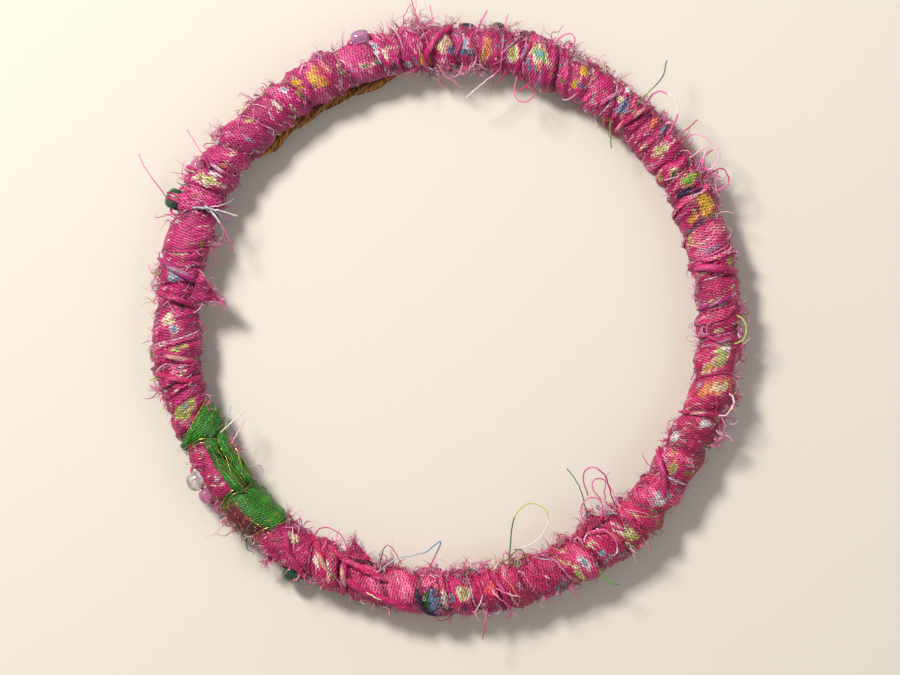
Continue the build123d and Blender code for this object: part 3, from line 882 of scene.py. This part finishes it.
# ---- silk strips ---------------------------------------------------------------------------------
def wound_strip(name, crown, green=False):
    """One strip of silk wound round the padded hoop: crowned, folded, lapped and tucked."""
    first, turns = turns_of(name)
    t = np.linspace(first - STRIP_START, first + turns - STRIP_END, int(turns * GIRTH / STEP))
    q = np.concatenate([np.linspace(0, 1, ROWS_ACROSS), [1.15, 1.4, 1.7, 2.0]])
    t, q = np.meshgrid(t, q, indexing="ij")
    points, s, phi, width = cloth_point(t, q, crown)
    x = t * GIRTH + 0.30 * noise(t * GIRTH * 0.4, s * width * 0.4, 51)
    y = s * width + 0.40 * noise(t * GIRTH * 0.3, s * width * 0.3, 52)
    degrees = np.mod(np.degrees(phi), 360)
    if green:
        tint, shade = green_colours(degrees, np.cos(np.pi / 2 - 2 * np.pi * t), x, y)
    else:
        tint, shade = ground(degrees, x, y, 41)
        tint = speckle(tint, degrees, x, y)
        tint, shade = print_motifs(tint, shade, t, s, x, y, width)
    # painted shade: the silk's colours darken towards the creases between the turns
    crease_shade = (1 - 0.45 * smooth(0.16, 0.0, np.abs(s)) - 0.45 * smooth(0.16, 0.0, np.abs(1 - s)))[..., None]
    points = clear_beads(points)
    points[..., 2] = np.maximum(points[..., 2], FLOOR + CLOTH)
    silk = Mesh()
    silk.add_grid(points, tint * crease_shade, shade * crease_shade, on_cloth(x, y))
    cloth, slot = silk_of(green)
    piece = silk.make(name + "_silk", [cloth])
    thick = piece.modifiers.new("thickness", "SOLIDIFY")
    thick.thickness = CLOTH * MM
    thick.offset = -1
    return piece


# ---- loose fibres --------------------------------------------------------------------------------
PINKS = ["pink"] * 9 + ["magenta"] * 5 + ["violet"] * 2 + ["warm"] * 2 + ["pale pink"] * 6
FIBRES = PINKS + ["white", "grey", "lime"]
GREENS = ["green"] * 4 + ["bright green"] * 3 + ["dark green", "gold"]
FACE_THREADS = 5            # threads that lie over the face of each turn
TUFT_SHARE = 0.42           # fibres and locks that a tuft of thickness 1 would have
LOCK_FIBRES = 9             # fibres in a lock
FLAP_HAIRS = 90             # hairs along the sides and tip of a torn corner
THREAD_POINTS = 40          # points along a loose thread
STRAY_CURLS = 44            # curls of metal thread over the green section


def hair(rng, start, heading, length, curl):
    """A loose fibre that stays above the table. curl is about how many radians it turns per millimetre."""
    steps = max(8, int(length / 0.22))
    gone = np.linspace(0, length, steps)
    heading = heading / np.linalg.norm(heading)
    beside = np.cross(heading, rng.normal(size=3))
    beside /= np.linalg.norm(beside) + 1e-9
    turning = rng.choice([-1, 1]) * rng.uniform(0.25, 1.3) * curl
    bend = turning * gone + np.cumsum(rng.normal(size=steps)) * 0.7 * math.sqrt(length / steps)
    ways = heading * np.cos(bend)[:, None] + beside * np.sin(bend)[:, None]
    ways = ways + np.cumsum(rng.normal(size=(steps, 3)) * 0.10, axis=0)
    ways /= np.linalg.norm(ways, axis=1)[:, None]
    path = np.vstack([start, start + np.cumsum(ways * length / steps, axis=0)])
    path[:, 2] = np.maximum(path[:, 2], FLOOR + 0.08)
    return path


def meets_bead(path):
    """Whether a fibre would lie across a bead."""
    for centre, axis, radius, half in BEADS:
        along, away = beside_axis(path - centre, axis)
        if np.any((np.linalg.norm(away, axis=1) < radius + 0.3) & (np.abs(along) < half + 0.3)):
            return True
    return False


def dyed(rng, colours, low, high):
    """One of several colours, a little darker or lighter, as the only colour of a thread."""
    return (linear(rng.choice(colours)) * rng.uniform(low, high))[None]


def lock(mesh, rng, path, number, colours):
    """Several fine fibres that follow one path and part towards its end."""
    share = np.linspace(0, 1, len(path))[:, None]
    for i in range(number):
        wave = np.cumsum(rng.normal(size=(len(path), 3)) * 0.05, axis=0)
        strand = path + rng.normal(size=3) * (0.05 + 0.30 * share) + wave * share
        strand[:, 2] = np.maximum(strand[:, 2], FLOOR + 0.06)
        keep = rng.integers(max(4, len(path) // 2), len(path) + 1)
        colour = dyed(rng, colours, 0.75, 1.15)
        if not meets_bead(strand):
            mesh.add_thread(strand[:keep], rng.uniform(0.018, 0.034), colour)


def outward(point):
    """The direction away from the middle of the tube at a point."""
    middle = np.array([point[0], point[1], 0]) * RING / math.hypot(point[0], point[1])
    away = point - middle
    return away / (np.linalg.norm(away) + 1e-9)


def strip_at(angle):
    """The strip that lies at an angle round the hoop."""
    angle = np.mod(angle - CREASES[0], 360) + CREASES[0]
    turn = int(np.searchsorted(CREASES, angle, side="right")) - 1
    return max((name for name in STRIPS if FIRST_TURN[name] <= turn), key=FIRST_TURN.get)


def edge_hairs(mesh, rng, name, crown, per_turn, colours):
    """Short hairs along the torn edge, and curved threads that lie over the face of a strip."""
    first, turns = turns_of(name)
    for i in range(int(per_turn * turns)):
        t = first - 0.5 + turns * rng.random()
        q = rng.choice([0.0, 0.0, rng.random(), 1.0])
        here = cloth_point(np.array(t), np.array(q), crown)[0]
        heading = outward(here) * rng.uniform(0.0, 0.7) + rng.normal(size=3) * 0.6
        length = rng.choice([rng.uniform(0.4, 1.3), rng.uniform(1.2, 2.6)], p=[0.7, 0.3])
        colour = dyed(rng, colours, 0.7, 1.1)
        path = hair(rng, here, heading, length, 2.0)
        if not meets_bead(path):
            mesh.add_thread(path, rng.uniform(0.022, 0.05), colour)
    for i in range(FACE_THREADS * turns):
        t = first - 0.5 + turns * rng.random() + np.linspace(0, rng.uniform(0.06, 0.22), 24)
        drift = rng.uniform(0.1, 0.9) + np.linspace(0, rng.normal() * 0.5, 24) + 0.25 * noise(t * 7, i, 72)
        path = cloth_point(t, np.clip(drift, 0, 1), crown, 0.05)[0]
        path += outward(path[12]) * np.sin(np.linspace(0, np.pi, 24))[:, None] * rng.uniform(0.0, 0.7)
        colour = dyed(rng, colours, 0.8, 1.15)
        mesh.add_thread(clear_beads(path), rng.choice([0.03, 0.045, 0.07]), colour, sides=5)


def crease_cords(mesh, rng, name, colours):
    """Thin twisted edges of cloth that lie in some of the creases."""
    first, turns = turns_of(name)
    for k in range(first, first + turns):
        if rng.random() < 0.4:
            t = k + np.linspace(-rng.uniform(0.10, 0.26), rng.uniform(0.10, 0.26), 30)
            path = tube_point(np.radians(crease_angle(t)), np.pi / 2 - 2 * np.pi * t,
                              crease_radius(t) + 0.12 + 0.25 * noise(t * 3, 1.1, 71))
            main = linear(rng.choice(colours))
            pair = np.array([main, main * 0.6 + linear(rng.choice(colours)) * 0.4])
            mesh.add_thread(clear_beads(path), rng.uniform(0.10, 0.19), pair, sides=8, plies=2,
                            pitch=rng.uniform(0.8, 1.5), taper=False, material=1)


def tufts(mesh, rng, name, colours):
    """The frayed tufts that stick out past the silhouette of a strip: curly locks and single hairs."""
    for angle, across, spread, thickness, longest, curl in TUFTS:
        if strip_at(angle) != name:
            continue
        for i in range(int(thickness * TUFT_SHARE)):
            place = across * min(1.0, rng.uniform(0.78, 1.15))
            start = on_top(angle + rng.normal() * spread * 0.6, place, -0.1)
            start[2] -= max(0.0, rng.normal()) * 0.8
            side = from_axis(start) * math.copysign(1, across)
            heading = side * rng.uniform(0.3, 1.1) + rng.normal(size=3) * 0.8
            lengths = [rng.uniform(0.2, 0.45), rng.uniform(0.4, 0.8), rng.uniform(0.8, 1.3)]
            length = longest * rng.choice(lengths, p=[0.4, 0.4, 0.2])
            path = hair(rng, start, heading, length, curl * 1.5)
            if i % 3 == 0:
                lock(mesh, rng, path, LOCK_FIBRES, colours)
            elif not meets_bead(path):
                colour = dyed(rng, colours, 0.75, 1.15)
                mesh.add_thread(path, rng.uniform(0.03, 0.085), colour, sides=4)


def flaps(mesh, rng, name, colours):
    """Torn corners of cloth that stand off the winding, frayed round their tips."""
    for corners in FLAPS:
        near, far, tip = (np.array(corner) for corner in corners)
        if strip_at(angle_of(near)) != name:
            continue
        u, v = np.meshgrid(np.linspace(0, 0.93, 16), np.linspace(0, 1, 16), indexing="ij")
        points = (near + (far - near) * v[..., None]) * (1 - u[..., None]) + tip * u[..., None]
        x, y = u * 4, v * 4 * (1 - u)
        points[..., 2] += 0.5 * (noise(x * 1.1, y * 1.4, 73) - 0.5) + 0.12 * np.sin(y * 5)
        tint, shade = ground(np.full(u.shape, angle_of(near) % 360), x, y + 7, 41)
        mesh.add_grid(points, tint, shade, on_cloth(x, y), material=1)
        for i in range(FLAP_HAIRS):
            a, b = (rng.uniform(0.3, 1), rng.choice([0, 1])) if i % 2 else (0.93, rng.random())
            root = (near + (far - near) * b) * (1 - a) + tip * a
            heading = (tip - (near + far) / 2) / 3 + rng.normal(size=3) * 0.6
            colour = dyed(rng, colours, 0.75, 1.15)
            path = hair(rng, root, heading, rng.uniform(0.5, 2.0), 1.0)
            mesh.add_thread(path, rng.uniform(0.022, 0.045), colour)


def tails(mesh, name):
    """The twisted tails that lie over the turns of a strip."""
    for stops, radius, colours in TAILS:
        if strip_at(stops[1][0]) == name:
            path = clear_beads(curve_through([on_top(*stop) for stop in stops], 46))
            main, second = colour_row(colours)
            strands = np.array([main, main * 0.55 + second * 0.45, main * 0.85])
            mesh.add_thread(path, radius * 0.9, strands, sides=14, plies=3, pitch=radius * 9, taper=False,
                            material=1)


def loose_threads(mesh, name):
    """The single threads that have come loose from a strip."""
    for stops, rise, radius, colours in LOOSE:
        if strip_at(angle_of(stops[0])) == name:
            path = curve_through([(x, y, 0) for x, y in stops], THREAD_POINTS)
            path[:, 2] = CROWN - 1.2 + rise * np.sin(np.linspace(0, np.pi, THREAD_POINTS))
            steps = np.arange(THREAD_POINTS)[:, None]
            path += 0.14 * (noise(steps * 0.5, np.arange(3)[None] * 5.0 + rise, 74) - 0.5)
            mesh.add_thread(path, radius * 0.8, colour_row(colours), sides=6, taper=False)


def make_strip(name, crown, per_turn, green=False):
    """A strip with its frayed fibres."""
    first, turns = turns_of(name)
    rng = np.random.default_rng(first + 1000)
    piece = wound_strip(name, crown, green)
    colours = GREENS if green else FIBRES
    frayed = Mesh()
    edge_hairs(frayed, rng, name, crown, per_turn, colours)
    crease_cords(frayed, rng, name, GREENS if green else PINKS + ["grey", "cream"])
    tufts(frayed, rng, name, FIBRES + GREENS if green else FIBRES)
    flaps(frayed, rng, name, FIBRES)
    tails(frayed, name)
    loose_threads(frayed, name)
    cloth, slot = silk_of(green)
    fringe = frayed.make(name + "_fringe", [THREAD, cloth])
    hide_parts(name)


# ---- cotton under-wrap, and the rolled cloths -----------------------------------------------------
COTTON_TURNS = 60
COTTON_MIDDLE = 1.5         # radius halfway through the cotton wrap
WIRE_GAP = 0.08             # room between the wire and the cotton


def cotton_colours(x, y):
    """Plain ochre cotton, with a brown gap colour that is painted shade between the threads."""
    tone = noise(x * 0.8, y * 1.6, 81)[..., None]
    return linear("ochre") * (0.6 + 0.6 * tone), linear("brown") * (0.4 + 0.4 * tone)


def cotton_wrap():
    """The cotton strip wound edge over edge round the wire."""
    turns, girth = COTTON_TURNS, 2 * math.pi * COTTON_MIDDLE
    t, q = np.meshgrid(np.linspace(0, turns, turns * 24), np.linspace(0, 1, 9), indexing="ij")
    phi = np.radians(t * 360 / turns + q * math.degrees(CUT_WIDTH / RING))
    radius = WIRE + WIRE_GAP + (WRAP - WIRE - WIRE_GAP) * (1 - q)
    points = round_hoop(phi, RING + radius * np.cos(2 * np.pi * t), radius * np.sin(2 * np.pi * t))
    x, y = t * girth, q * CUT_WIDTH
    mesh = Mesh()
    mesh.add_grid(points, *cotton_colours(x, y), on_cloth(x, y))
    piece = mesh.make("cotton_wrap", [COTTON])
    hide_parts("ochre_underwrap")


def scroll(mesh, span, middle, radius, core, colours, twist, tuck=0.0):
    """A strip rolled up along the hoop, a spiral that turns as it goes. tuck moves its ends outward."""
    length = math.radians(span[1] - span[0]) * (RING + middle[0])
    wound = CUT_WIDTH / (math.pi * (radius + core))
    rows = int(length / 0.16)
    along, q = np.meshgrid(np.linspace(0, 1, rows), np.linspace(0, 1, int(wound * 34)), indexing="ij")
    x, y = along * length, q * CUT_WIDTH
    turn = 2 * np.pi * (wound * q + twist * x / 10)
    size = radius - (radius - core) * q
    size = size * (1 + 0.10 * np.cos(2 * turn - 1.3 * x) + 0.22 * (noise(turn * 1.2, x * 0.9, 91) - 0.5))
    ends = smooth(0, 0.16, along) * smooth(1, 0.84, along)
    size = size * (0.5 + 0.5 * ends)
    sway = 0.25 * (noise(x * 0.4, 1.0, 92) - 0.5) + tuck * (1 - ends)
    phi = np.radians(span[0] + along * (span[1] - span[0]))
    points = round_hoop(phi, RING + middle[0] + sway + size * np.cos(turn), middle[1] + size * np.sin(turn))
    mesh.add_grid(points, *colours(x, y), on_cloth(x, y))
    return length


def node_middle(name):
    """Where the middle of a twist's section lies: how far from the hoop's centre line, and how high."""
    points = np.array([v.co for v in frame["nodes"][name].data.vertices]) / MM
    distance = np.hypot(points[:, 0], points[:, 1]) - RING
    return (distance.min() + distance.max()) / 2, (points[:, 2].min() + points[:, 2].max()) / 2


def ochre_roll():
    """The exposed end of the cotton wrap along the inner edge."""
    mesh = Mesh()
    length = scroll(mesh, (99, 142), node_middle("ochre_twist"), 0.68, 0.24, cotton_colours, 2.2, tuck=1.1)
    piece = mesh.make("ochre_roll", [COTTON])
    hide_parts("ochre_twist")


def green_rolls():
    """The green strip rolled lengthwise, there and back, between the two green puffs."""
    def colours(x, y):
        return green_colours(np.full(x.shape, 215.0), np.full(x.shape, -1.0), x, y)

    mesh = Mesh()
    middle = node_middle("green_twist")
    length = scroll(mesh, (206.6, 220.2), (middle[0] + 0.82, middle[1] + 0.15), 0.98, 0.40, colours, 1.3)
    length += scroll(mesh, (206.6, 220.4), (middle[0] - 0.80, middle[1] - 0.45), 0.90, 0.40, colours, -1.1)
    piece = mesh.make("green_rolls", [GREEN_SILK])
    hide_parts("green_twist")


def zari():
    """Metal-wrapped thread: loops in the green creases, stray curls, and threads along the green rolls."""
    rng = np.random.default_rng(5)
    mesh = Mesh()
    gold = colour_row("gold")
    for crease, lean in ((209, -0.3), (209, 0.5), (219.5, -0.2), (219.5, 0.6), (231, -0.3)):
        t = crease_number(crease) + np.linspace(-0.49, 0.49, 90)
        around = np.pi / 2 - 2 * np.pi * t
        wave = np.radians(crease_angle(t) + lean + 0.4 * np.sin(around * 3 + lean))
        path = tube_point(wave, around, CREASE + 0.62 + 0.2 * noise(around * 3 + 90, lean, 95))
        mesh.add_thread(path, 0.055, gold, sides=5, taper=False)
    for i in range(STRAY_CURLS):
        angle = rng.choice([rng.uniform(206, 221), rng.uniform(219, 230)])
        across = rng.uniform(-0.9, 0.9) if angle < 221 else rng.uniform(0.1, 0.9)
        start = on_top(angle, across, rng.uniform(-0.3, 0.5))
        along = np.array([-start[1], start[0], 0]) / math.hypot(start[0], start[1])
        heading = along * rng.choice([-1, 1]) + rng.normal(size=3) * 0.5
        path = hair(rng, start, heading, rng.uniform(0.8, 2.8), 1.6)
        if not meets_bead(path):
            mesh.add_thread(path, rng.uniform(0.03, 0.05), gold, sides=4)
    centre, height = node_middle("green_twist")
    share = np.linspace(0, 1, 50)
    for side, raised in ((0.82, 0.95), (-0.8, 0.35)):
        for phase in (0.6, 1.4, 2.3):
            turn = phase + share * 1.4 + 1.2 * noise(share * 6, phase, 96)
            path = round_hoop(np.radians(208.8 + share * 10.6), RING + centre + side + 1.02 * np.cos(turn),
                              height + raised - 0.75 + 1.02 * np.abs(np.sin(turn)))
            mesh.add_thread(path, 0.045, gold, sides=4, taper=False)
    piece = mesh.make("zari_thread", [GOLD])
    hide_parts("gold_thread")


# ---- bead stitches -------------------------------------------------------------------------------
STITCHES = 10
STITCH_SPAN = 2.4           # a bead this near to the middle of a stitch hangs on it
STITCH_BEND = 0.5           # radius of a stitch's two bends
STITCH_RADIUS = 0.22


def stitch_thread(number):
    """The twisted thread of one stitch: down into the silk at each end and straight through its beads."""
    name = f"bead_stitch_{number:02d}"
    low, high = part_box(name)
    middle = np.array((low + high) / 2) / MM
    held = [bead for bead in BEADS if np.linalg.norm(bead[0] - middle) < STITCH_SPAN]
    axis = held[0][1]
    ends = [float(axis @ (bead[0] - middle)) + side * bead[3] for bead in held for side in (-1, 1)]
    line = held[0][0] + axis * (axis @ (middle - held[0][0]))
    out = outward(line)
    bend = STITCH_BEND
    reach = (max(ends) - min(ends)) / 2 + bend
    shift = (max(ends) + min(ends)) / 2
    depth = max(bead[2] for bead in held) + 0.25
    arc = np.linspace(0, np.pi / 2, 8)
    left = [(-reach, -depth), (-reach, -bend)]
    left += [(-reach + bend - bend * math.cos(a), -bend + bend * math.sin(a)) for a in arc]
    stops = np.array(left + [(-x, y) for x, y in reversed(left)])
    path = line + axis * (stops[:, :1] + shift) + out * stops[:, 1:]
    dense = np.vstack([np.linspace(a, b, 6, endpoint=False) for a, b in zip(path, path[1:])] + [path[-1:]])
    mesh = Mesh()
    strands = colour_row("magenta pink")
    mesh.add_thread(dense, STITCH_RADIUS, strands, sides=8, plies=2, pitch=1.1, taper=False)
    piece = mesh.make(f"stitch_thread_{number:02d}", [THREAD])
    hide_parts(name)


# ---- everything ----------------------------------------------------------------------------------
cotton_wrap()
for strip_name in STRIPS:
    if strip_name.startswith("magenta"):
        make_strip(strip_name, CROWN, 44)
make_strip("green_strip_upper", CROWN, 60, green=True)
make_strip("green_strip_lower", CROWN + 0.25, 50, green=True)
make_strip("beaded_strip", 2.5, 90)
ochre_roll()
green_rolls()
zari()
for stitch_number in range(1, STITCHES + 1):
    stitch_thread(stitch_number)

GLASS = {
    "black_glass": glass("black_bead_glass", (0.020, 0.012, 0.028), 0.15, 420),
    "dark_green_glass": glass("green_bead_glass", (0.02, 0.12, 0.05), 0.6, 520),
    "clear_glass": glass("clear_bead_glass", (0.90, 0.74, 0.76), 0.75),
    "pink_glass": glass("pink_bead_glass", (0.80, 0.26, 0.46), 0.65),
    "lilac_glass": glass("lilac_bead_glass", (0.74, 0.36, 0.64), 0.7),
    "magenta_glass": glass("magenta_bead_glass", (0.42, 0.02, 0.14), 0.35),
    "gold_glass": glass("gold_bead_glass", (0.16, 0.13, 0.04), 0.25, 480),
}
for part in frame["record"]["subparts"]:
    node = frame["nodes"][part["node"]]
    finish = STEEL if part["node"] == "hoop_wire" else GLASS.get(part["material_slot"])
    if finish:
        node.data.materials.clear()
        node.data.materials.append(finish)
        node.data.polygons.foreach_set("use_smooth", [True] * len(node.data.polygons))

# ---- floor, camera and light ---------------------------------------------------------------------
PICTURE_WIDTH = 117.8       # how much of the table the picture spans at the hoop
RIGHT_SHIFT = 0.33          # the picture's middle lies this far right of the hoop's middle
DOWN_SHIFT = 2.45           # and this far below it
CAMERA_HEIGHT = 450


def make_camera():
    """A long lens straight above the bangle."""
    data = bpy.data.cameras.new("camera")
    data.sensor_width = 36
    data.lens = data.sensor_width * CAMERA_HEIGHT / PICTURE_WIDTH
    data.clip_start = 0.01
    camera = place_object("camera", data)
    camera.location = (RIGHT_SHIFT * MM, -DOWN_SHIFT * MM, CAMERA_HEIGHT * MM)
    bpy.context.scene.camera = camera


def make_light(name, place, size, power, colour):
    """A square soft box that faces the bangle; its place and size are metres."""
    data = bpy.data.lights.new(name, "AREA")
    data.size = size
    data.energy = power
    data.color = colour
    light = place_object(name, data)
    light.location = place
    light.rotation_euler = (-Vector(place)).to_track_quat("-Z", "Y").to_euler()


def make_floor():
    """A plain pale table."""
    reach, z = 3.0, FLOOR * MM
    corners = [(-reach, -reach, z), (reach, -reach, z), (reach, reach, z), (-reach, reach, z)]
    mesh = bpy.data.meshes.new("floor")
    mesh.from_pydata(corners, [], [(0, 1, 2, 3)])
    floor = place_object("floor", mesh)
    finish = Finish("pale_table")
    finish.shade({"Base Color": (0.60, 0.56, 0.50, 1), "Roughness": 0.9, "Specular IOR Level": 0.1})
    mesh.materials.append(finish.material)


def make_world(strength):
    """Even pale light from all round."""
    world = bpy.data.worlds.new("studio")
    world.use_nodes = True
    background = world.node_tree.nodes["Background"]
    background.inputs["Color"].default_value = (1.0, 0.98, 0.96, 1)
    background.inputs["Strength"].default_value = strength
    bpy.context.scene.world = world


make_camera()
make_floor()
make_world(0.38)
make_light("key", (-0.25, 0.26, 0.38), 0.10, 3.9, (1.0, 0.97, 0.92))
make_light("fill", (0.35, -0.1, 0.35), 0.3, 0.5, (0.95, 0.97, 1.0))
bpy.context.scene.view_settings.view_transform = "Standard"
